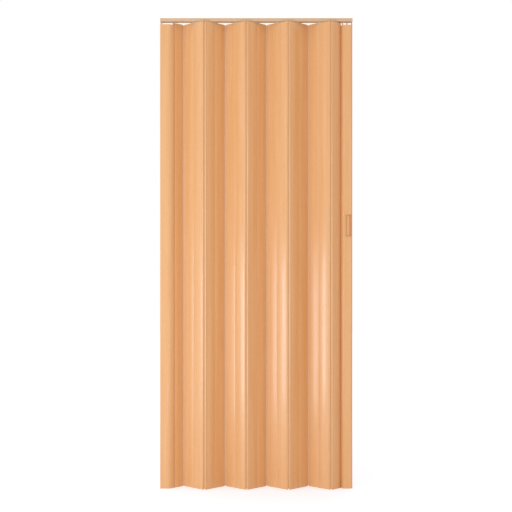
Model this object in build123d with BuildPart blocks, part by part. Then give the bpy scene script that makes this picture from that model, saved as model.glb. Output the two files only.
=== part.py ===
from build123d import *
from math import acos, asin, cos, degrees, radians, sin, sqrt
import os

# PVC folding door: nine hollow slats joined by flexible hinge strips, hung from a top track.
# Millimetres. X runs along the track, -Y is the front, +Z is up, and the floor is Z = 0.
# The door is drawn closed, with its folds part open, as it hangs in a doorway.

os.makedirs("parts", exist_ok=True)

# Doorway
opening_width = 830.0
door_height = 2030.0

# Top track
track_height = 14.0
track_depth = 34.0
track_wall = 1.6
track_slot = 10.0
track_edge = 1.0
track_screw_radius = 2.25
track_screw_spacing = 240.0
track_screw_count = 4
end_cap = 2.5
end_cap_plug = 6.0
plug_clearance = 0.2
tongue_width = 9.0
tongue_depth = 7.0
tongue_grip = 28.0

# Slats: a span runs from one bead's centre to the next
slat_span = 104.0
full_slats = 7
slat_top_gap = 4.0
socket_radius = 4.0
bead_radius = 1.85
bead_clearance = 0.3
edge_half = 3.2
crown_half = 4.0
slat_wall = 1.2
rib = 1.0
groove_radius = 1.0
groove_depth = 0.5
middle_rib = 2.4
stacked_fold = 85.0

# Hinge strips
strip_span = 12.0
hinge_web = 1.2
strip_inset = 3.0

# Wall profile, beside the first slat
wall_profile_reach = 55.0
wall_profile_wall = 1.6
wall_profile_back = 16.0
wall_profile_drop = 12.0
shoulder_radius = 22.0
wall_screw_radius = 2.25
wall_screw_offset = 9.0
wall_screw_spacing = 570.0
wall_screw_count = 4

# Lead post, at the free end of the door
post_reach = 47.0
post_wall = 1.6
post_gap = 5.0
post_bevel_width = 6.0
post_bevel_depth = 8.0
post_edge = 2.0
post_drop = 14.0
post_cap = 2.0
post_plug = 14.0
magnet_width = 12.0
magnet_depth = 2.2
magnet_inset = 12.0

# Strike profile, on the wall that the lead post closes against
strike_reach = 3.5
strike_gap = 0.3
strike_steel_width = 10.0
strike_steel = 1.4
strike_steel_proud = 0.2
strike_rim = 4.0
strike_screw_radius = 2.0
strike_screw_spacing = 570.0
strike_screw_count = 4

# Hangers and gliders
hanger_plate = 1.6
hanger_length = 34.0
hanger_width = 5.6
prong_length = 10.0
prong_depth = 22.0
prong_clearance = 0.1
pin_radius = 2.5
pin_head_radius = 4.0
pin_head = 1.6
pin_clearance = 0.05
glider_radius = 9.0
glider_thickness = 4.0
glider_edge = 0.8
glider_lift = 0.2
post_glider_offset = 8.5
post_glider_spacing = 20.0

# Handle
handle_height = 94.0
handle_width = 25.0
handle_proud = 3.0
handle_centre = 1135.0
handle_side_gap = 1.0
handle_rim = 3.0
handle_corner = 3.0
grip_shallow = 3.0
grip_deep = 8.0
grip_flat = 9.5
grip_wall = 1.5
cutout_clearance = 0.5
boss_radius = 3.5
boss_spacing = 56.0
handle_screw_radius = 1.5
handle_screw_head = 2.8
handle_screw_head_height = 1.6
handle_screw_bite = 12.0
screw_clearance = 0.1

# Heights
track_bottom = door_height - track_height
slat_height = track_bottom - slat_top_gap
wall_profile_height = track_bottom - wall_profile_drop
post_top = track_bottom - post_drop
lip_top = track_bottom + track_wall
glider_bottom = lip_top + glider_lift

# The fold that fills the doorway, with one bay from each bead pair to the next
bays = full_slats + 1
chain_length = opening_width - wall_profile_reach - post_reach - strike_reach
bay = chain_length / bays
closed_fold = degrees(acos((bay - strip_span) / slat_span))
fold_depth = slat_span / 2 * sin(radians(closed_fold))
wall_x = -opening_width / 2
strike_x = opening_width / 2
first_pivot = wall_x + wall_profile_reach
last_pivot = first_pivot + chain_length
half_span = slat_span / 2

# Sockets: the bore round a bead, and the slot that the web swings in
bore_radius = bead_radius + bead_clearance
slot_margin = degrees(asin((hinge_web / 2 + bead_clearance) / bore_radius))
slot_start = closed_fold - slot_margin
slot_end = stacked_fold + slot_margin
panel_start = sqrt(socket_radius**2 - edge_half**2)
neck_end = socket_radius + bead_clearance * 3


def spaced(count, spacing, middle=0.0):
    return [middle + (i - (count - 1) / 2) * spacing for i in range(count)]


def at_angle(x, radius, angle):
    return (x + radius * cos(radians(angle)), radius * sin(radians(angle)))


# A fan from the bead's centre out past the socket's wall
def cut_slot(x, start, end):
    reach = socket_radius * 2
    fan = [at_angle(x, reach, start + (end - start) * i / 2) for i in range(3)]
    with BuildLine() as outline:
        Polyline((x, 0), *fan, close=True)
    make_face(outline.edges(), mode=Mode.SUBTRACT)


def cut_socket(x, start, end):
    with Locations((x, 0)):
        Circle(bore_radius, mode=Mode.SUBTRACT)
    cut_slot(x, start, end)


# One gently arched panel, thickest half-way along
def panel(x0, x1, edge, crown, mode=Mode.ADD):
    middle = (x0 + x1) / 2
    with BuildLine() as outline:
        ThreePointArc((x0, edge), (middle, crown), (x1, edge))
        Line((x1, edge), (x1, -edge))
        ThreePointArc((x1, -edge), (middle, -crown), (x0, -edge))
        Line((x0, -edge), (x0, edge))
    make_face(outline.edges(), mode=mode)


# The two chambers of one panel, either side of a thin rib
def chambers(x0, x1):
    edge = edge_half - slat_wall
    crown = crown_half - slat_wall
    panel(x0, x1, edge, crown, Mode.SUBTRACT)
    with Locations(((x0 + x1) / 2, 0)):
        Rectangle(rib, crown_half * 2 - slat_wall, mode=Mode.ADD)


def full_slat_section():
    panel(panel_start, half_span, edge_half, crown_half)
    panel(half_span, slat_span - panel_start, edge_half, crown_half)
    with Locations((0, 0), (slat_span, 0)):
        Circle(socket_radius)
    chamber_start = socket_radius + slat_wall
    chambers(chamber_start, half_span - middle_rib / 2)
    chambers(half_span + middle_rib / 2, slat_span - chamber_start)
    groove_y = edge_half - groove_depth + groove_radius
    with Locations((half_span, groove_y), (half_span, -groove_y)):
        Circle(groove_radius, mode=Mode.SUBTRACT)
    cut_socket(slat_span, slot_start, slot_end)
    cut_socket(0, 180 + slot_start, 180 + slot_end)


# A half slat has a bead at one edge, which turns in a post's socket, and a socket at the other
def half_slat_section(bead_x, socket_x):
    towards = 1 if socket_x > bead_x else -1
    neck_x = bead_x + towards * neck_end
    x0, x1 = sorted((neck_x, socket_x - towards * panel_start))
    panel(x0, x1, edge_half, crown_half)
    with Locations((socket_x, 0)):
        Circle(socket_radius)
    inner = sorted((neck_x + towards * slat_wall, socket_x - towards * (socket_radius + slat_wall)))
    chambers(*inner)
    turn = 0 if towards > 0 else 180
    cut_socket(socket_x, turn + slot_start, turn + slot_end)
    with Locations((bead_x, 0)):
        Circle(bead_radius)
    with Locations(((bead_x + neck_x) / 2, 0)):
        Rectangle(neck_end, hinge_web)


# Every other slat is turned end for end, which turns its slots to the other face
def slat_plane(x, y, angle, turned):
    direction = (cos(radians(angle)), sin(radians(angle)), 0)
    if turned:
        return Plane(origin=(x, y, slat_height), x_dir=direction, z_dir=(0, 0, -1))
    return Plane(origin=(x, y, 0), x_dir=direction, z_dir=(0, 0, 1))


# The folds: odd ones lie at the back, even ones at the front
def fold_x(number):
    return first_pivot + bay * (number - 0.5)


def fold_y(number):
    return fold_depth if number % 2 else -fold_depth


# Top track, an inverted channel that is open along its underside
with BuildPart() as top_track:
    with BuildSketch(Plane.YZ.offset(wall_x + end_cap)):
        with Locations((0, track_bottom + track_height / 2)):
            RectangleRounded(track_depth, track_height, track_edge)
            Rectangle(track_depth - 2 * track_wall, track_height - 2 * track_wall, mode=Mode.SUBTRACT)
        with Locations((0, track_bottom + track_wall / 2)):
            Rectangle(track_slot, track_wall * 2, mode=Mode.SUBTRACT)
    extrude(amount=opening_width - 2 * end_cap)
    track_holes = [(x, 0) for x in spaced(track_screw_count, track_screw_spacing)]
    with BuildSketch(Plane.XY.offset(door_height - track_wall)):
        with Locations(*track_holes):
            Circle(track_screw_radius)
    extrude(amount=track_wall, mode=Mode.SUBTRACT)
top_track.part.label = "top_track"
export_step(top_track.part, "parts/top_track.step")

plug_depth = track_depth - 2 * (track_wall + plug_clearance)
plug_height = track_height - 2 * (track_wall + plug_clearance)
plug_z = track_bottom + track_height / 2

# Left end cap, with a tongue down through the slot into the wall profile
tongue_bottom = wall_profile_height - tongue_grip
tongue_x = wall_x + wall_profile_wall
with BuildPart() as track_cap_left:
    with BuildSketch(Plane.YZ.offset(wall_x)):
        with Locations((0, plug_z)):
            RectangleRounded(track_depth, track_height, track_edge)
    extrude(amount=end_cap)
    with BuildSketch(Plane.YZ.offset(wall_x + end_cap)):
        with Locations((0, plug_z)):
            Rectangle(plug_depth, plug_height)
    extrude(amount=end_cap_plug)
    with BuildSketch(Plane.XY.offset(tongue_bottom)):
        with Locations((tongue_x + tongue_depth / 2, 0)):
            Rectangle(tongue_depth, tongue_width)
    extrude(amount=plug_z - tongue_bottom)
track_cap_left.part.label = "track_cap_left"
export_step(track_cap_left.part, "parts/track_cap_left.step")

with BuildPart() as track_cap_right:
    with BuildSketch(Plane.YZ.offset(strike_x - end_cap)):
        with Locations((0, plug_z)):
            RectangleRounded(track_depth, track_height, track_edge)
    extrude(amount=end_cap)
    with BuildSketch(Plane.YZ.offset(strike_x - end_cap - end_cap_plug)):
        with Locations((0, plug_z)):
            Rectangle(plug_depth, plug_height)
    extrude(amount=end_cap_plug)
track_cap_right.part.label = "track_cap_right"
export_step(track_cap_right.part, "parts/track_cap_right.step")

# Wall profile: a base against the wall, a front face, and a shoulder that slopes back to the socket
front_y = -track_depth / 2
shoulder_run = (-front_y - socket_radius * cos(radians(closed_fold))) / sin(radians(closed_fold))
shoulder_x = first_pivot + socket_radius * sin(radians(closed_fold)) - shoulder_run * cos(radians(closed_fold))
tangent = (
    first_pivot + socket_radius * sin(radians(closed_fold)),
    -socket_radius * cos(radians(closed_fold)),
)
inner_x = wall_x + wall_profile_wall
inner_y = front_y + wall_profile_wall
inner_shift = wall_profile_wall * (1 - cos(radians(closed_fold))) / sin(radians(closed_fold))
inner_tangent = (
    tangent[0] - wall_profile_wall * sin(radians(closed_fold)),
    tangent[1] + wall_profile_wall * cos(radians(closed_fold)),
)
with BuildPart() as wall_profile:
    with BuildSketch():
        with BuildLine():
            FilletPolyline(
                (wall_x, wall_profile_back),
                (wall_x, front_y),
                (shoulder_x, front_y),
                tangent,
                radius=(track_edge, shoulder_radius),
            )
            Line(tangent, inner_tangent)
            FilletPolyline(
                inner_tangent,
                (shoulder_x - inner_shift, inner_y),
                (inner_x, inner_y),
                (inner_x, wall_profile_back),
                radius=(shoulder_radius - wall_profile_wall, track_edge),
            )
            Line((inner_x, wall_profile_back), (wall_x, wall_profile_back))
        make_face()
        with Locations((first_pivot, 0)):
            Circle(socket_radius)
        cut_socket(first_pivot, slot_start, slot_end)
    extrude(amount=wall_profile_height)
    wall_holes = spaced(wall_screw_count, wall_screw_spacing, wall_profile_height / 2)
    with BuildSketch(Plane.YZ.offset(wall_x)):
        with Locations(*[(wall_screw_offset, z) for z in wall_holes]):
            Circle(wall_screw_radius)
    extrude(amount=wall_profile_wall, mode=Mode.SUBTRACT)
wall_profile.part.label = "wall_profile"
export_step(wall_profile.part, "parts/wall_profile.step")

# Strike profile and the steel strip let into it, opposite the magnet
strike_face = strike_x - strike_reach + strike_gap + strike_steel_proud
strike_depth = strike_steel_width + 2 * strike_rim
steel_x = strike_face - strike_steel_proud
with BuildPart() as strike_profile:
    with BuildSketch():
        with Locations(((strike_face + strike_x) / 2, 0)):
            Rectangle(strike_x - strike_face, strike_depth)
        with Locations((steel_x + strike_steel / 2, 0)):
            Rectangle(strike_steel, strike_steel_width, mode=Mode.SUBTRACT)
    extrude(amount=track_bottom)
    strike_holes = spaced(strike_screw_count, strike_screw_spacing, track_bottom / 2)
    with BuildSketch(Plane.YZ.offset(strike_face)):
        with Locations(*[(0, z) for z in strike_holes]):
            Circle(strike_screw_radius)
    extrude(amount=strike_x - strike_face, mode=Mode.SUBTRACT)
strike_profile.part.label = "strike_profile"
export_step(strike_profile.part, "parts/strike_profile.step")

with BuildPart() as strike_steel_strip:
    with BuildSketch(Plane.XY.offset(magnet_inset)):
        with Locations((steel_x + strike_steel / 2, 0)):
            Rectangle(strike_steel, strike_steel_width)
    extrude(amount=post_top - 2 * magnet_inset)
strike_steel_strip.part.label = "strike_steel_strip"
export_step(strike_steel_strip.part, "parts/strike_steel_strip.step")

# First half slat, from the wall profile's socket back to the first fold
with BuildPart() as start_slat:
    with BuildSketch(slat_plane(first_pivot, 0, closed_fold, True)):
        half_slat_section(0, half_span)
    extrude(amount=slat_height)
start_slat.part.label = "start_slat"
export_step(start_slat.part, "parts/start_slat.step")

# Last half slat, from the last fold to the lead post's socket
with BuildPart() as lead_slat:
    lead_x = fold_x(bays) + strip_span / 2
    with BuildSketch(slat_plane(lead_x, fold_y(bays), closed_fold, True)):
        half_slat_section(half_span, 0)
    extrude(amount=slat_height)
lead_slat.part.label = "lead_slat"
export_step(lead_slat.part, "parts/lead_slat.step")

# Full slats
for number in range(1, full_slats + 1):
    turned = number % 2 == 0
    angle = closed_fold if turned else -closed_fold
    slat_x = fold_x(number) + strip_span / 2
    with BuildPart() as slat:
        with BuildSketch(slat_plane(slat_x, fold_y(number), angle, turned)):
            full_slat_section()
        extrude(amount=slat_height)
    slat.part.label = f"slat_{number}"
    export_step(slat.part, f"parts/slat_{number}.step")

# Hinge strips: a web between two beads, one at each fold
for number in range(1, bays + 1):
    with BuildPart() as strip:
        with BuildSketch(Plane.XY.offset(strip_inset)):
            with Locations((fold_x(number), fold_y(number))):
                Rectangle(strip_span, hinge_web)
                with GridLocations(strip_span, 0, 2, 1):
                    Circle(bead_radius)
        extrude(amount=slat_height - 2 * strip_inset)
    strip.part.label = f"hinge_strip_{number}"
    export_step(strip.part, f"parts/hinge_strip_{number}.step")

# Hangers: prongs in a slat's two middle chambers, and a headed pin up into the track
pin_top = glider_bottom + glider_thickness + pin_head
prong_width = 2 * (edge_half - slat_wall - prong_clearance)
prong_x = middle_rib / 2 + prong_clearance + prong_length / 2
for number in range(1, full_slats + 1):
    angle = closed_fold if number % 2 == 0 else -closed_fold
    centre_x = first_pivot + bay * number
    with BuildPart() as hanger:
        with BuildSketch(Plane.XY.offset(slat_height - prong_depth)):
            with Locations(Location((centre_x, 0, 0), angle)):
                with GridLocations(2 * prong_x, 0, 2, 1):
                    Rectangle(prong_length, prong_width)
        extrude(amount=prong_depth)
        with BuildSketch(Plane.XY.offset(slat_height)):
            with Locations(Location((centre_x, 0, 0), angle)):
                SlotOverall(hanger_length, hanger_width)
        extrude(amount=hanger_plate)
        with BuildSketch(Plane.XY.offset(slat_height)):
            with Locations((centre_x, 0)):
                Circle(pin_radius)
        extrude(amount=pin_top - slat_height)
        with BuildSketch(Plane.XY.offset(pin_top - pin_head)):
            with Locations((centre_x, 0)):
                Circle(pin_head_radius)
        extrude(amount=pin_head)
    hanger.part.label = f"hanger_{number}"
    export_step(hanger.part, f"parts/hanger_{number}.step")

# Gliders: round discs that run on the track's two lips
for number in range(1, full_slats + 1):
    with BuildPart() as glider:
        with BuildSketch(Plane.XY.offset(glider_bottom)):
            with Locations((first_pivot + bay * number, 0)):
                Circle(glider_radius)
                Circle(pin_radius + pin_clearance, mode=Mode.SUBTRACT)
        extrude(amount=glider_thickness)
        rims = glider.edges().filter_by(GeomType.CIRCLE).sort_by(lambda edge: edge.radius)[-2:]
        chamfer(rims, glider_edge)
    glider.part.label = f"glider_{number}"
    export_step(glider.part, f"parts/glider_{number}.step")

# Lead post: a hollow box with a bevelled front edge, and the socket at its left side
post_left = last_pivot + post_gap
post_right = last_pivot + post_reach
back_y = -front_y
bevel_corner_y = front_y + post_bevel_depth
magnet_seat = magnet_depth + post_wall
handle_right = post_right - handle_side_gap
handle_x = handle_right - handle_width / 2
housing_width = handle_width - 2 * (handle_rim - grip_wall)
housing_height = handle_height - 2 * (handle_rim - grip_wall)


# The outline of the post, or of what lies a given inset inside it
def post_outline(inset, mode=Mode.ADD):
    slope = sqrt(post_bevel_width**2 + post_bevel_depth**2)
    left_shift = inset * (slope - post_bevel_width) / post_bevel_depth
    front_shift = inset * (slope - post_bevel_depth) / post_bevel_width
    with BuildLine() as outline:
        FilletPolyline(
            (post_left + inset, back_y - inset),
            (post_left + inset, bevel_corner_y + left_shift),
            (post_left + post_bevel_width + front_shift, front_y + inset),
            (post_right - inset, front_y + inset),
            (post_right - inset, back_y - inset),
            radius=max(post_edge - inset, post_edge / 5),
            close=True,
        )
    make_face(outline.edges(), mode=mode)


with BuildPart() as lead_post:
    with BuildSketch(Plane.XY.offset(post_cap)):
        post_outline(0)
        post_outline(post_wall, Mode.SUBTRACT)
        # the magnet's seat, and a web from the left wall to the socket
        with Locations((post_right - magnet_seat / 2, 0)):
            Rectangle(magnet_seat, magnet_width + 2 * post_wall)
        with Locations((post_right - magnet_depth / 2, 0)):
            Rectangle(magnet_depth, magnet_width, mode=Mode.SUBTRACT)
        with Locations((last_pivot + (post_gap + post_wall) / 2, socket_radius / 4)):
            Rectangle(post_gap + post_wall, socket_radius * 1.5)
        with Locations((last_pivot, 0)):
            Circle(socket_radius)
        cut_socket(last_pivot, 180 + slot_start, 180 + slot_end)
    extrude(amount=post_top - 2 * post_cap)
    # front and back cut-outs for the handle's two halves
    for face_y in (front_y, back_y - post_wall):
        with BuildSketch(Plane.XZ.offset(-face_y)):
            with Locations((handle_x, handle_centre)):
                Rectangle(housing_width + 2 * cutout_clearance, housing_height + 2 * cutout_clearance)
        extrude(amount=-post_wall, mode=Mode.SUBTRACT)
lead_post.part.label = "lead_post"
export_step(lead_post.part, "parts/lead_post.step")

plug_left = post_left + post_bevel_width + post_wall
plug_right = post_right - magnet_seat - plug_clearance
post_plug_depth = track_depth - 2 * (post_wall + plug_clearance)
post_glider_x = spaced(2, post_glider_spacing, last_pivot + post_glider_offset + post_glider_spacing / 2)

# Top cap of the lead post, with two headed pins up into the track
with BuildPart() as lead_hanger:
    with BuildSketch(Plane.XY.offset(post_top - post_cap)):
        post_outline(0)
    extrude(amount=post_cap)
    with BuildSketch(Plane.XY.offset(post_top - post_cap - post_plug)):
        with Locations(((plug_left + plug_right) / 2, 0)):
            Rectangle(plug_right - plug_left, post_plug_depth)
    extrude(amount=post_plug)
    with BuildSketch(Plane.XY.offset(post_top)):
        with Locations(*[(x, 0) for x in post_glider_x]):
            Circle(pin_radius)
    extrude(amount=pin_top - post_top)
    with BuildSketch(Plane.XY.offset(pin_top - pin_head)):
        with Locations(*[(x, 0) for x in post_glider_x]):
            Circle(pin_head_radius)
    extrude(amount=pin_head)
lead_hanger.part.label = "lead_hanger"
export_step(lead_hanger.part, "parts/lead_hanger.step")

with BuildPart() as lead_foot_cap:
    with BuildSketch():
        post_outline(0)
    extrude(amount=post_cap)
    with BuildSketch(Plane.XY.offset(post_cap)):
        with Locations(((plug_left + plug_right) / 2, 0)):
            Rectangle(plug_right - plug_left, post_plug_depth)
    extrude(amount=post_plug)
lead_foot_cap.part.label = "lead_foot_cap"
export_step(lead_foot_cap.part, "parts/lead_foot_cap.step")

with BuildPart() as lead_gliders:
    with BuildSketch(Plane.XY.offset(glider_bottom)):
        with Locations(*[(x, 0) for x in post_glider_x]):
            Circle(glider_radius)
            Circle(pin_radius + pin_clearance, mode=Mode.SUBTRACT)
    extrude(amount=glider_thickness)
    rims = lead_gliders.edges().filter_by(GeomType.CIRCLE).sort_by(lambda edge: edge.radius)[-4:]
    chamfer(rims, glider_edge)
lead_gliders.part.label = "lead_gliders"
export_step(lead_gliders.part, "parts/lead_gliders.step")

with BuildPart() as magnet_strip:
    with BuildSketch(Plane.XY.offset(magnet_inset)):
        with Locations((post_right - magnet_depth / 2, 0)):
            Rectangle(magnet_depth, magnet_width)
    extrude(amount=post_top - 2 * magnet_inset)
magnet_strip.part.label = "magnet_strip"
export_step(magnet_strip.part, "parts/magnet_strip.step")

# Handle: two halves with a finger recess each, screwed together through the post
handle_face = front_y - handle_proud
grip_left = handle_x - handle_width / 2 + handle_rim
grip_right = handle_x + handle_width / 2 - handle_rim
grip_height = handle_height - 2 * handle_rim
screw_x = grip_left + grip_flat / 2
screw_z = spaced(2, boss_spacing, handle_centre)
floor_back = handle_face + grip_shallow + grip_wall


# The recess in plan: flat where the screws are, then sloping down to the finger wall
def grip_section(wall, mode):
    with BuildLine() as outline:
        Polyline(
            (grip_left - wall, handle_face),
            (grip_left - wall, handle_face + grip_shallow + wall),
            (grip_left + grip_flat - wall / 2, handle_face + grip_shallow + wall),
            (grip_right + wall, handle_face + grip_deep + wall),
            (grip_right + wall, handle_face),
            close=True,
        )
    make_face(outline.edges(), mode=mode)


# One half, as it lies at the front, with the screw holes of the radius and depth given
def handle_half(hole_depth):
    with BuildSketch(Plane.XZ.offset(-front_y)) as plate:
        with Locations((handle_x, handle_centre)):
            RectangleRounded(handle_width, handle_height, handle_corner)
    body = extrude(plate.sketch, amount=handle_proud)
    chamfer(body.faces().sort_by(Axis.Y)[0].edges(), handle_proud / 3)
    with BuildSketch(Plane.XY.offset(handle_centre - housing_height / 2)) as housing:
        grip_section(grip_wall, Mode.ADD)
    extrude(housing.sketch, amount=housing_height)
    with BuildSketch(Plane.XZ) as bosses:
        with Locations(*[(screw_x, z) for z in screw_z]):
            Circle(boss_radius)
    extrude(bosses.sketch, amount=-floor_back)
    with BuildSketch(Plane.XY.offset(handle_centre - grip_height / 2)) as recess:
        grip_section(0, Mode.ADD)
    extrude(recess.sketch, amount=grip_height, mode=Mode.SUBTRACT)
    with BuildSketch(Plane.XZ) as holes:
        with Locations(*[(screw_x, z) for z in screw_z]):
            Circle(handle_screw_radius + screw_clearance)
    extrude(holes.sketch, amount=hole_depth, mode=Mode.SUBTRACT)


with BuildPart() as handle_front:
    handle_half(handle_screw_bite + cutout_clearance)
handle_front.part.label = "handle_front"
export_step(handle_front.part, "parts/handle_front.step")

with BuildPart() as handle_back:
    handle_half(-handle_face)
    mirror(about=Plane.XZ, mode=Mode.REPLACE)
handle_back.part.label = "handle_back"
export_step(handle_back.part, "parts/handle_back.step")

# The two screws, with their heads on the floor of the back recess
head_seat = -(handle_face + grip_shallow)
with BuildPart() as handle_screws:
    with BuildSketch(Plane.XZ.offset(handle_screw_bite)):
        with Locations(*[(screw_x, z) for z in screw_z]):
            Circle(handle_screw_radius)
    extrude(amount=-(handle_screw_bite + head_seat))
    with BuildSketch(Plane.XZ.offset(-head_seat)):
        with Locations(*[(screw_x, z) for z in screw_z]):
            Circle(handle_screw_head)
    extrude(amount=-handle_screw_head_height)
handle_screws.part.label = "handle_screws"
export_step(handle_screws.part, "parts/handle_screws.step")

print(f"closed fold {closed_fold:.2f} degrees, fold depth {fold_depth:.2f}, bay {bay:.2f}")
print(f"first pivot {first_pivot:.2f}, last pivot {last_pivot:.2f}, post {post_left:.2f} to {post_right:.2f}")
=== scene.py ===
import math

import bpy
import numpy as np
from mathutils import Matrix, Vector
from mathutils.geometry import tessellate_polygon


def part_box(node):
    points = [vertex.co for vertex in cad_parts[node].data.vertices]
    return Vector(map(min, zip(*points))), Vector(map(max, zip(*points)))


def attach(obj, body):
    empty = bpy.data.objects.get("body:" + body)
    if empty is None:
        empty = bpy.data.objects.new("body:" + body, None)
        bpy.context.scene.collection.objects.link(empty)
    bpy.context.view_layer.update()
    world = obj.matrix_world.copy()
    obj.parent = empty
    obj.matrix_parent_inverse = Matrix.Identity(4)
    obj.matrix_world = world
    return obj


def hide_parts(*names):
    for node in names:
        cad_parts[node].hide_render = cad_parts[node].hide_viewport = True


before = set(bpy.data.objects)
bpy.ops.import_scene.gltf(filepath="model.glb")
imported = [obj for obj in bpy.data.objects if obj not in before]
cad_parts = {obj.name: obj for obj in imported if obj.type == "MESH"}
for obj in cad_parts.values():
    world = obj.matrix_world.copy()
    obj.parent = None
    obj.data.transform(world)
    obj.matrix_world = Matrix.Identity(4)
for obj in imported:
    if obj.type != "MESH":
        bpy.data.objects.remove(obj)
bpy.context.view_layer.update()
print("frame loaded")

# A folding door of beech-printed hollow slats. Sizes below are in millimetres, the scene is in metres.
# X runs along the track, -Y is the front and Z is up.
mm = 0.001

# where the folds lie; these match the solids, so they change only together with them
door = {
    "firstPivot": -360.0,
    "lastPivot": 364.5,
    "fullSlats": 7,
    "span": 104.0,
    "stripSpan": 12.0,
    "stackedFold": 85.0,
}
bays = door["fullSlats"] + 1
bay = (door["lastPivot"] - door["firstPivot"]) / bays
fold = math.degrees(math.acos((bay - door["stripSpan"]) / door["span"]))
foldDepth = door["span"] / 2 * math.sin(math.radians(fold))


def foldPlace(number):
    return door["firstPivot"] + bay * (number - 0.5), foldDepth if number % 2 else -foldDepth


# Arc: centre plus radius times the cosine and sine of evenly spaced angles
def arcPoints(centre, radius, start, end, count):
    angle = np.radians(np.linspace(start, end, count))
    return np.stack([centre[0] + radius * np.cos(angle), centre[1] + radius * np.sin(angle)], 1)


# Arch: the circle through (x0, edge), (middle, crown) and (x1, edge), read at x
def archHeight(x, x0, x1, edge, crown):
    half, rise = (x1 - x0) / 2, crown - edge
    radius = (half * half + rise * rise) / (2 * rise)
    return crown - radius + np.sqrt(radius * radius - (x - (x0 + x1) / 2) ** 2)


# Turns a flat section by an angle and moves it to a place. A turned-over one has its Y reversed first, and its points
# then run backwards so that they still go round the same way.
def placed(loops, origin, angle, turnedOver=False):
    c, s, k = math.cos(math.radians(angle)), math.sin(math.radians(angle)), -1 if turnedOver else 1
    out = []
    for p in loops:
        x, y = p[:, 0], k * p[:, 1]
        out.append(np.stack([origin[0] + c * x - s * y, origin[1] + s * x + c * y], 1)[::k])
    return out


# A mesh from points and faces, smooth except where faces meet at more than the sharp angle
def makePiece(name, points, faces, sharp=32.0):
    mesh = bpy.data.meshes.new(name)
    mesh.from_pydata((np.asarray(points) * mm).tolist(), [], faces)
    mesh.polygons.foreach_set("use_smooth", [True] * len(mesh.polygons))
    mesh.set_sharp_from_angle(angle=math.radians(sharp))
    mesh.update()
    piece = bpy.data.objects.new(name, mesh)
    bpy.context.scene.collection.objects.link(piece)
    return piece


# Section carried straight along an axis: row j of a loop is that loop at station j, quads join neighbouring rows,
# and both ends are filled round the hollow chambers. Order says which axes the section's X, Y and stations go to.
def carried(loops, stations, order=(0, 1, 2)):
    points, sides, firstRow, lastRow, base = [], [], [], [], 0
    m = len(stations)
    for loop in loops:
        n = len(loop)
        grid = np.zeros((m, n, 3))
        grid[:, :, :2] = loop[None]
        grid[:, :, 2] = np.asarray(stations, float)[:, None]
        points.append(grid.reshape(-1, 3))
        row, i = np.arange(m - 1)[:, None] * n, np.arange(n)[None]
        a, b = base + (row + i).ravel(), base + (row + (i + 1) % n).ravel()
        sides.append(np.stack([a, b, b + n, a + n], 1))
        firstRow.append(base + np.arange(n))
        lastRow.append(base + (m - 1) * n + np.arange(n))
        base += n * m
    flat = np.concatenate(loops)
    cap = np.array(tessellate_polygon([[Vector((x, y, 0)) for x, y in loop] for loop in loops]))
    u, v = flat[cap[:, 1]] - flat[cap[:, 0]], flat[cap[:, 2]] - flat[cap[:, 0]]
    backwards = u[:, 0] * v[:, 1] - u[:, 1] * v[:, 0] < 0
    cap[backwards] = cap[backwards][:, ::-1]
    near, far = np.concatenate(firstRow)[cap][:, ::-1], np.concatenate(lastRow)[cap]
    section = np.concatenate(points)
    xyz = np.zeros_like(section)
    xyz[:, list(order)] = section
    return xyz, np.concatenate(sides).tolist() + near.tolist() + far.tolist()


# Materials: patterns read the piece's own coordinates, so they ride with it

def nodeGroup(name, inputs, outputs):
    group = bpy.data.node_groups.new(name, "ShaderNodeTree")
    for label, kind, value in inputs:
        group.interface.new_socket(name=label, in_out="INPUT", socket_type=kind).default_value = value
    for label, kind in outputs:
        group.interface.new_socket(name=label, in_out="OUTPUT", socket_type=kind)
    return group, group.nodes.new("NodeGroupInput"), group.nodes.new("NodeGroupOutput")


# a value goes to a socket as a link if it comes out of another node, and as a plain setting otherwise
def feed(tree, value, socket):
    if isinstance(value, bpy.types.NodeSocket):
        tree.links.new(value, socket)
    else:
        socket.default_value = value


# noise drawn out along Z: across and along are its scales per metre
def stretchedNoise(tree, across, along, detail=2.0, roughness=0.5, shift=0.0):
    place, stretch = tree.nodes.new("ShaderNodeTexCoord"), tree.nodes.new("ShaderNodeMapping")
    noise = tree.nodes.new("ShaderNodeTexNoise")
    stretch.inputs["Scale"].default_value = (across, across, along)
    stretch.inputs["Location"].default_value = (shift, shift * 0.7, shift * 0.3)
    noise.inputs["Scale"].default_value = 1.0
    noise.inputs["Detail"].default_value = detail
    noise.inputs["Roughness"].default_value = roughness
    tree.links.new(place.outputs["Object"], stretch.inputs["Vector"])
    tree.links.new(stretch.outputs["Vector"], noise.inputs["Vector"])
    return noise.outputs["Fac"]


def remap(tree, source, low, high, toLow=0.0, toHigh=1.0):
    node = tree.nodes.new("ShaderNodeMapRange")
    for key, value in (("From Min", low), ("From Max", high), ("To Min", toLow), ("To Max", toHigh)):
        feed(tree, value, node.inputs[key])
    tree.links.new(source, node.inputs["Value"])
    return node.outputs["Result"]


def mixColour(tree, factor, a, b):
    node = tree.nodes.new("ShaderNodeMix")
    node.data_type = "RGBA"
    feed(tree, factor, node.inputs[0])
    feed(tree, a, node.inputs[6])
    feed(tree, b, node.inputs[7])
    return node.outputs[2]


def combine(tree, operation, a, b):
    node = tree.nodes.new("ShaderNodeMath")
    node.operation = operation
    feed(tree, a, node.inputs[0])
    feed(tree, b, node.inputs[1])
    return node.outputs[0]


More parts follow.
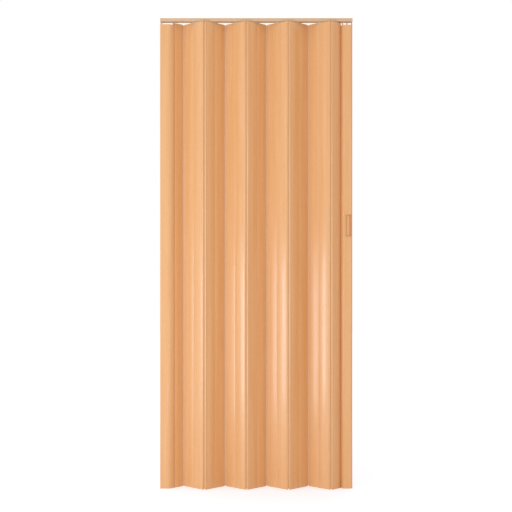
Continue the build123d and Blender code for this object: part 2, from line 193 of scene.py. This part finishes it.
# noise holds a layer's scales per metre across and along, its detail, roughness and shift; between holds the two
# values of the noise where the layer begins and where it is full
grain = {
    "broadBands": {"noise": (55.0, 1.6, 2.0, 0.5, 0.0), "between": (0.36, 0.64)},
    "fineStreaks": {"noise": (420.0, 7.0, 3.0, 0.6, 3.1), "between": (0.42, 0.70)},
    "pores": {"noise": (1500.0, 130.0, 1.0, 0.5, 7.7), "between": (0.60, 0.72)},
    "streakRelief": 0.4,
    "poreRelief": 0.6,
    "poreSheen": 0.5,
    "cloud": {"noise": (90.0, 60.0, 3.0, 0.5, 1.3), "between": (0.35, 0.68)},
    "skin": (2600.0, 2600.0, 2.0, 0.5, 5.9),
}


# Printed beech: broad bands, narrow streaks and short dark flecks, all running up the slat
def makeBeechPrint():
    group, given, out = nodeGroup(
        "beechPrint",
        [("Ground", "NodeSocketColor", (0.8, 0.4, 0.2, 1)), ("Warm", "NodeSocketColor", (0.8, 0.4, 0.2, 1)),
         ("Streak", "NodeSocketColor", (0.6, 0.3, 0.1, 1)), ("Fleck", "NodeSocketColor", (0.4, 0.2, 0.1, 1)),
         ("Bands", "NodeSocketFloat", 0.5), ("Streaks", "NodeSocketFloat", 0.3), ("Flecks", "NodeSocketFloat", 0.3)],
        [("Color", "NodeSocketColor"), ("Height", "NodeSocketFloat"), ("Sheen", "NodeSocketFloat")],
    )
    broad, fine, pores = (
        remap(group, stretchedNoise(group, *layer["noise"]), *layer["between"])
        for layer in (grain["broadBands"], grain["fineStreaks"], grain["pores"])
    )
    colour = mixColour(group, combine(group, "MULTIPLY", broad, given.outputs["Bands"]),
                       given.outputs["Ground"], given.outputs["Warm"])
    colour = mixColour(group, combine(group, "MULTIPLY", fine, given.outputs["Streaks"]),
                       colour, given.outputs["Streak"])
    colour = mixColour(group, combine(group, "MULTIPLY", pores, given.outputs["Flecks"]),
                       colour, given.outputs["Fleck"])
    height = combine(group, "SUBTRACT", combine(group, "MULTIPLY", fine, grain["streakRelief"]),
                     combine(group, "MULTIPLY", pores, grain["poreRelief"]))
    sheen = combine(group, "ADD", fine, combine(group, "MULTIPLY", pores, grain["poreSheen"]))
    group.links.new(colour, out.inputs["Color"])
    group.links.new(height, out.inputs["Height"])
    group.links.new(sheen, out.inputs["Sheen"])
    return group


# Moulded plastic: a slight cloudiness in the colour and a very fine skin
def makeMouldedSkin():
    group, given, out = nodeGroup(
        "mouldedSkin",
        [("Ground", "NodeSocketColor", (0.8, 0.8, 0.8, 1)), ("Shade", "NodeSocketColor", (0.6, 0.6, 0.6, 1)),
         ("Cloud", "NodeSocketFloat", 0.5)],
        [("Color", "NodeSocketColor"), ("Height", "NodeSocketFloat"), ("Sheen", "NodeSocketFloat")],
    )
    cloud = remap(group, stretchedNoise(group, *grain["cloud"]["noise"]), *grain["cloud"]["between"])
    skin = stretchedNoise(group, *grain["skin"])
    colour = mixColour(group, combine(group, "MULTIPLY", cloud, given.outputs["Cloud"]),
                       given.outputs["Ground"], given.outputs["Shade"])
    group.links.new(colour, out.inputs["Color"])
    group.links.new(skin, out.inputs["Height"])
    group.links.new(cloud, out.inputs["Sheen"])
    return group


beechPrint = makeBeechPrint()
mouldedSkin = makeMouldedSkin()


# group gives the pattern; roughness runs from the first to the second value with it
def finish(name, group, colours, amounts, roughness, bump, bumpDepth=0.05, metallic=0.0, shine=0.5, coat=0.0):
    material = bpy.data.materials.new(name)
    material.use_nodes = True
    tree = material.node_tree
    shader = tree.nodes["Principled BSDF"]
    pattern = tree.nodes.new("ShaderNodeGroup")
    pattern.node_tree = group
    for key, value in colours.items():
        pattern.inputs[key].default_value = (*value, 1)
    for key, value in amounts.items():
        pattern.inputs[key].default_value = value
    tree.links.new(pattern.outputs["Color"], shader.inputs["Base Color"])
    tree.links.new(remap(tree, pattern.outputs["Sheen"], 0.0, 1.0, *roughness), shader.inputs["Roughness"])
    relief = tree.nodes.new("ShaderNodeBump")
    relief.inputs["Strength"].default_value = bump
    relief.inputs["Distance"].default_value = bumpDepth * mm
    tree.links.new(pattern.outputs["Height"], relief.inputs["Height"])
    tree.links.new(relief.outputs["Normal"], shader.inputs["Normal"])
    shader.inputs["Metallic"].default_value = metallic
    shader.inputs["Specular IOR Level"].default_value = shine
    shader.inputs["Coat Weight"].default_value = coat
    shader.inputs["Coat Roughness"].default_value = 0.2
    return material


# linear colours; Ground is the print's main tone and Warm the tone of its broad bands
beech = {
    "Ground": (0.83, 0.455, 0.222),
    "Warm": (0.79, 0.405, 0.170),
    "Streak": (0.70, 0.32, 0.12),
    "Fleck": (0.45, 0.18, 0.07),
}
paleBeech = {
    "Ground": (0.70, 0.47, 0.30),
    "Warm": (0.68, 0.44, 0.27),
    "Streak": (0.60, 0.37, 0.21),
    "Fleck": (0.42, 0.25, 0.14),
}
beechFoil = finish("beechFoil", beechPrint, beech, {"Bands": 0.85, "Streaks": 0.22, "Flecks": 0.3},
                   (0.18, 0.24), 0.05)
beechMoulded = finish("beechMoulded", beechPrint, beech, {"Bands": 0.4, "Streaks": 0.2, "Flecks": 0.15},
                      (0.36, 0.42), 0.10)
trackFoil = finish("trackFoil", beechPrint, paleBeech, {"Bands": 0.6, "Streaks": 0.35, "Flecks": 0.25},
                   (0.45, 0.52), 0.12)
softHinge = finish("softHinge", mouldedSkin, {"Ground": (0.76, 0.43, 0.225), "Shade": (0.72, 0.39, 0.195)},
                   {"Cloud": 0.6}, (0.48, 0.56), 0.2)
nylon = finish("nylon", mouldedSkin, {"Ground": (0.80, 0.78, 0.72), "Shade": (0.72, 0.70, 0.63)},
               {"Cloud": 0.6}, (0.42, 0.5), 0.15)
zincPlate = finish("zincPlate", mouldedSkin, {"Ground": (0.62, 0.62, 0.63), "Shade": (0.50, 0.51, 0.53)},
                   {"Cloud": 0.7}, (0.28, 0.42), 0.15, metallic=1.0)
steelStrip = finish("steelStrip", mouldedSkin, {"Ground": (0.55, 0.55, 0.56), "Shade": (0.45, 0.45, 0.46)},
                    {"Cloud": 0.7}, (0.32, 0.46), 0.15, metallic=1.0)
magnetRubber = finish("magnetRubber", mouldedSkin, {"Ground": (0.03, 0.03, 0.03), "Shade": (0.055, 0.05, 0.045)},
                      {"Cloud": 0.8}, (0.55, 0.7), 0.3)
print("materials made")

# Slats

slat = {
    "edge": 3.2,        # half the thickness at the panels' edges
    "crown": 4.0,       # and at the middle of each panel
    "wall": 1.2,
    "rib": 1.0,
    "middleRib": 2.4,
    "socketRadius": 3.997,
    "boreRadius": 2.15,
    "lip": 0.3,         # rounding at the mouth of a socket
    "grooveRadius": 1.0,
    "grooveDepth": 0.5,
    "beadRadius": 1.85,
    "web": 1.2,
    "neck": 4.9,
    "slotEase": 0.3,    # free room on each side of the web in a socket's slot
    "faceInset": 0.6,   # from a socket to the first point of a panel's face
    "grooveHalf": 1.2,  # half the width kept free for the groove
    "grooveTurn": 60,   # half the turn of the groove's arc, in degrees
    "ringSteps": 24, "lipSteps": 12, "boreSteps": 36, "beadSteps": 28,
    "archSteps": 26, "chamberSteps": 12, "grooveSteps": 7,
    "rows": 9,
}
margin = math.degrees(math.asin((slat["web"] / 2 + slat["slotEase"]) / slat["boreRadius"]))
slotStart, slotEnd = fold - margin, door["stackedFold"] + margin
panelStart = math.sqrt(slat["socketRadius"] ** 2 - slat["edge"] ** 2)
join = 180 - math.degrees(math.asin(slat["edge"] / slat["socketRadius"]))


# Socket: round the ring to the slot, in over its lip, back round the bore the long way, and out over the other lip
def socketWall(x, turn, fromAngle, toAngle):
    ring, bore, lip = slat["socketRadius"], slat["boreRadius"], slat["lip"]
    start, end, ease = turn + slotStart, turn + slotEnd, math.degrees(lip / ring)
    centre = (x, 0.0)
    return np.concatenate([
        arcPoints(centre, ring, turn + fromAngle, start - ease, slat["ringSteps"]),
        arcPoints(centre, ring - lip, start, start, 1),
        arcPoints(centre, bore, start, end - 360, slat["boreSteps"]),
        arcPoints(centre, ring - lip, end, end, 1),
        arcPoints(centre, ring, end + ease, turn + toAngle, slat["lipSteps"]),
    ])


# One face of a panel from x0 to x1: the arch read at even steps
def panelFace(x0, x1, archFrom, archTo):
    x = np.linspace(x0, x1, slat["archSteps"])
    return np.stack([x, archHeight(x, *sorted((archFrom, archTo)), slat["edge"], slat["crown"])], 1)


# A chamber inside a panel, between the inner arches, going round clockwise
def chamber(x0, x1, archFrom, archTo):
    x = np.linspace(x0, x1, slat["chamberSteps"])
    y = archHeight(x, archFrom, archTo, slat["edge"] - slat["wall"], slat["crown"] - slat["wall"])
    return np.concatenate([np.stack([x, y], 1), np.stack([x, -y], 1)[::-1]])


def chamberPair(x0, x1):
    middle = (x0 + x1) / 2
    return [chamber(x0, middle - slat["rib"] / 2, x0, x1), chamber(middle + slat["rib"] / 2, x1, x0, x1)]


# Full slat: two arched panels with a groove between them and a socket at each edge. One half of the outline is
# the other half turned by 180 degrees.
def fullSlat():
    span, half = door["span"], door["span"] / 2
    grooveY = slat["edge"] - slat["grooveDepth"] + slat["grooveRadius"]
    inset, side, turn = slat["faceInset"], slat["grooveHalf"], slat["grooveTurn"]
    halfOutline = np.concatenate([
        socketWall(span, 0, -join, join),
        panelFace(span - panelStart - inset, half + side, span - panelStart, half),
        arcPoints((half, grooveY), slat["grooveRadius"], -90 + turn, -90 - turn, slat["grooveSteps"]),
        panelFace(half - side, panelStart + inset, half, panelStart),
    ])
    outline = np.concatenate([halfOutline, [span, 0] - halfOutline])
    start, middle = slat["socketRadius"] + slat["wall"], slat["middleRib"] / 2
    return [outline] + chamberPair(start, half - middle) + chamberPair(half + middle, span - start)


# Half slat: a bead and neck at x = 0, one arched panel, and a socket at its far edge
def halfSlat():
    half, neck, bead, web = door["span"] / 2, slat["neck"], slat["beadRadius"], slat["web"] / 2
    lean = math.degrees(math.asin(web / bead))
    face = panelFace(half - panelStart - slat["faceInset"], neck, half - panelStart, neck)
    outline = np.concatenate([
        socketWall(half, 0, -join, join),
        face,
        [[neck, web]],
        arcPoints((0.0, 0.0), bead, lean, 360 - lean, slat["beadSteps"]),
        [[neck, -web]],
        (face * [1, -1])[::-1],
    ])
    return [outline] + chamberPair(neck + slat["wall"], half - slat["socketRadius"] - slat["wall"])


def stations(node):
    low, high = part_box(node)
    return np.linspace(low.z, high.z, slat["rows"]) / mm


slatPieces = []
for number in range(1, door["fullSlats"] + 1):
    node, turnedOver = f"slat_{number}", number % 2 == 0
    x, y = foldPlace(number)
    loops = placed(fullSlat(), (x + door["stripSpan"] / 2, y), fold if turnedOver else -fold, turnedOver)
    piece = makePiece(f"slatShell_{number}", *carried(loops, stations(node)))
    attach(piece, node)
    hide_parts(node)
    slatPieces.append(piece)

x, y = foldPlace(bays)
mirrored = [[door["span"] / 2, 0] - loop for loop in halfSlat()]
for name, node, loops, origin in (
    ("startSlatShell", "start_slat", halfSlat(), (door["firstPivot"], 0)),
    ("leadSlatShell", "lead_slat", mirrored, (x + door["stripSpan"] / 2, y)),
):
    piece = makePiece(name, *carried(placed(loops, origin, fold, True), stations(node)))
    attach(piece, node)
    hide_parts(node)
    slatPieces.append(piece)
for piece in slatPieces:
    piece.data.materials.append(beechFoil)
print("slats made")

# Hinge strips

strip = {"webInset": 2.4, "webSteps": 5}    # the web's points keep this far from a bead's centre


# Strip: a web with a round bead along each edge
def hingeStrip():
    half, bead, web = door["stripSpan"] / 2, slat["beadRadius"], slat["web"] / 2
    lean = math.degrees(math.asin(web / bead))
    inner = np.linspace(half - strip["webInset"], -half + strip["webInset"], strip["webSteps"])
    edge = np.stack([inner, np.full(strip["webSteps"], web)], 1)
    right = np.concatenate([arcPoints((half, 0.0), bead, lean - 180, 180 - lean, slat["beadSteps"]), edge])
    return [np.concatenate([right, -right])]


for number in range(1, bays + 1):
    node = f"hinge_strip_{number}"
    piece = makePiece(f"hingeBand_{number}", *carried(placed(hingeStrip(), foldPlace(number), 0), stations(node)))
    piece.data.materials.append(softHinge)
    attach(piece, f"strip_{number}")
    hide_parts(node)
print("hinge strips made")

# Handle trim: a raised border on each handle plate, coloured darker than the plate to paint the shade round its edges

trim = {
    "inset": 1.7,        # from the plate's edge to the middle of the border
    "halfWidth": 1.6,
    "rise": 0.9,
    "corner": 2.0,
    "cornerSteps": 7,
    "sectionSteps": 12,
}


# Closed border: its middle line is a rectangle with quarter circles at the corners. Each place on the line carries an
# ellipse, half as wide as halfWidth says along the line's outward direction and rise high along Y.
def borderRing(low, high, faceY):
    r, middle, outward = trim["corner"], [], []
    toCorner = trim["inset"] + r
    x0, x1 = low.x / mm + toCorner, high.x / mm - toCorner
    z0, z1 = low.z / mm + toCorner, high.z / mm - toCorner
    for centre, start in (((x1, z1), 0), ((x0, z1), 90), ((x0, z0), 180), ((x1, z0), 270)):
        turn = arcPoints((0.0, 0.0), 1.0, start, start + 90, trim["cornerSteps"])
        outward.append(turn)
        middle.append(np.array(centre) + r * turn)
    middle, outward = np.concatenate(middle), np.concatenate(outward)
    section = arcPoints((0.0, 0.0), 1.0, 0, 360, trim["sectionSteps"] + 1)[:-1]
    across = trim["halfWidth"] * section[None, :, 0]
    points = np.zeros((len(middle), len(section), 3))
    points[:, :, 0] = middle[:, 0, None] + across * outward[:, 0, None]
    points[:, :, 1] = faceY / mm + trim["rise"] * section[None, :, 1]
    points[:, :, 2] = middle[:, 1, None] + across * outward[:, 1, None]
    n, m = len(middle), len(section)
    i, j = np.arange(n)[:, None], np.arange(m)[None]
    nextI, nextJ = (i + 1) % n, (j + 1) % m
    quads = [corner.ravel() for corner in (i * m + j, i * m + nextJ, nextI * m + nextJ, nextI * m + j)]
    return points.reshape(-1, 3), np.stack(quads, 1).tolist()


# the trim's dark colour is painted shade: it draws a shaded outline round the handle, on top of the real shade the
# raised border casts
paintedShadeTrim = finish("paintedShadeTrim", mouldedSkin, {"Ground": (0.60, 0.31, 0.145), "Shade": (0.54, 0.27, 0.12)},
                  {"Cloud": 0.6}, (0.36, 0.44), 0.12)
for name, node in (("frontTrim", "handle_front"), ("backTrim", "handle_back")):
    low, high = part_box(node)
    piece = makePiece(name, *borderRing(low, high, low.y if node == "handle_front" else high.y))
    piece.data.materials.append(paintedShadeTrim)
    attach(piece, "lead_post")
print("handle trim made")

# The parts that keep their solid shape

finishes = {
    "top_track": trackFoil, "track_cap_left": trackFoil, "track_cap_right": trackFoil,
    "wall_profile": beechFoil, "strike_profile": beechFoil, "strike_steel_strip": steelStrip,
    "lead_post": beechFoil, "lead_foot_cap": beechMoulded, "lead_hanger": beechMoulded, "lead_gliders": nylon,
    "magnet_strip": magnetRubber, "handle_front": beechMoulded, "handle_back": beechMoulded,
    "handle_screws": zincPlate,
}
for number in range(1, door["fullSlats"] + 1):
    finishes[f"hanger_{number}"] = nylon
    finishes[f"glider_{number}"] = nylon
for node, material in finishes.items():
    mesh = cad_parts[node].data
    mesh.materials.clear()
    mesh.materials.append(material)
print("solids finished")

# Camera, lamps, floor and background

bpy.context.scene.view_settings.view_transform = "Standard"

# principalX and horizon are the column and row of the picture that lie straight ahead of the camera
camera = {
    "x": -0.190, "distance": 4.536, "eye": 1.006, "lens": 73.65, "sensor": 36.0,
    "principalX": 212.3, "horizon": 255.45, "picture": 512.0,
}
lens = bpy.data.cameras.new("camera")
lens.lens, lens.sensor_fit = camera["lens"], "HORIZONTAL"
lens.sensor_width = lens.sensor_height = camera["sensor"]
lens.shift_x = 0.5 - camera["principalX"] / camera["picture"]
lens.shift_y = camera["horizon"] / camera["picture"] - 0.5
viewer = bpy.data.objects.new("camera", lens)
viewer.location = (camera["x"], -camera["distance"], camera["eye"])
viewer.rotation_euler = (math.radians(90), 0, 0)
bpy.context.scene.collection.objects.link(viewer)
bpy.context.scene.camera = viewer

# azimuth is measured to the left of the front, in degrees, as seen from the door's middle; the soft key lights the
# left faces of the folds. The low strip gives only the upright bright bands on them, so it sends out no diffuse light
# and the folds in front of it cast no shadow.
lamps = {
    "softKey": {"azimuth": 38.0, "distance": 3.2, "height": 0.85, "width": 1.6, "tall": 2.0, "watts": 41.0,
                "tint": (0.80, 1.0, 1.17)},
    "lowStrip": {"azimuth": 73.2, "distance": 3.0, "height": 0.46, "width": 0.17, "tall": 1.1, "watts": 9.5,
                 "tint": (0.85, 0.97, 1.12)},
}
for name, setting in lamps.items():
    light = bpy.data.lights.new(name, "AREA")
    light.shape, light.size, light.size_y = "RECTANGLE", setting["width"], setting["tall"]
    light.energy, light.color = setting["watts"], setting["tint"]
    lamp = bpy.data.objects.new(name, light)
    a = math.radians(setting["azimuth"])
    lamp.location = Vector((-math.sin(a), -math.cos(a), 0)) * setting["distance"] + Vector((0, 0, setting["height"]))
    aim = Vector((0, 0, setting["height"])) - lamp.location
    lamp.rotation_euler = aim.to_track_quat("-Z", "Y").to_euler()
    bpy.context.scene.collection.objects.link(lamp)
    if name == "lowStrip":
        light.use_shadow = False
        lamp.visible_diffuse = False

studio = {
    "ambient": 0.78, "ambientTint": (1.08, 1.01, 0.88),
    "floor": 0.85, "floorRoughness": 0.8, "floorReach": 9000.0,
    "floorGlow": 0.36, "glowTint": (0.92, 1.0, 1.25),    # a cool glow, as the light around is warm
}
world = bpy.data.worlds.new("studio")
bpy.context.scene.world = world
world.use_nodes = True
tree = world.node_tree
tree.nodes.clear()
rays, soft = tree.nodes.new("ShaderNodeLightPath"), tree.nodes.new("ShaderNodeBackground")
white, mix = tree.nodes.new("ShaderNodeBackground"), tree.nodes.new("ShaderNodeMixShader")
out = tree.nodes.new("ShaderNodeOutputWorld")
soft.inputs["Color"].default_value = (*studio["ambientTint"], 1)
soft.inputs["Strength"].default_value = studio["ambient"]
white.inputs["Color"].default_value = (1, 1, 1, 1)
seen = combine(tree, "MAXIMUM", rays.outputs["Is Camera Ray"],
               combine(tree, "MAXIMUM", rays.outputs["Is Glossy Ray"], rays.outputs["Is Transmission Ray"]))
tree.links.new(seen, mix.inputs["Fac"])
tree.links.new(soft.outputs[0], mix.inputs[1])
tree.links.new(white.outputs[0], mix.inputs[2])
tree.links.new(mix.outputs[0], out.inputs["Surface"])

floorMaterial = bpy.data.materials.new("paleFloor")
floorMaterial.use_nodes = True
tree = floorMaterial.node_tree
shader = tree.nodes["Principled BSDF"]
rays = tree.nodes.new("ShaderNodeLightPath")
shader.inputs["Base Color"].default_value = (studio["floor"],) * 3 + (1,)
shader.inputs["Roughness"].default_value = studio["floorRoughness"]
shader.inputs["Emission Color"].default_value = (*studio["glowTint"], 1)
glow = combine(tree, "MULTIPLY", combine(tree, "MAXIMUM", rays.outputs["Is Camera Ray"],
                                         rays.outputs["Is Glossy Ray"]), studio["floorGlow"])
tree.links.new(glow, shader.inputs["Emission Strength"])
reach = studio["floorReach"]
floorPiece = makePiece("floor", [(-reach, -reach, 0), (reach, -reach, 0), (reach, reach, 0), (-reach, reach, 0)],
                       [(0, 1, 2, 3)])
floorPiece.data.materials.append(floorMaterial)
print("studio set up")
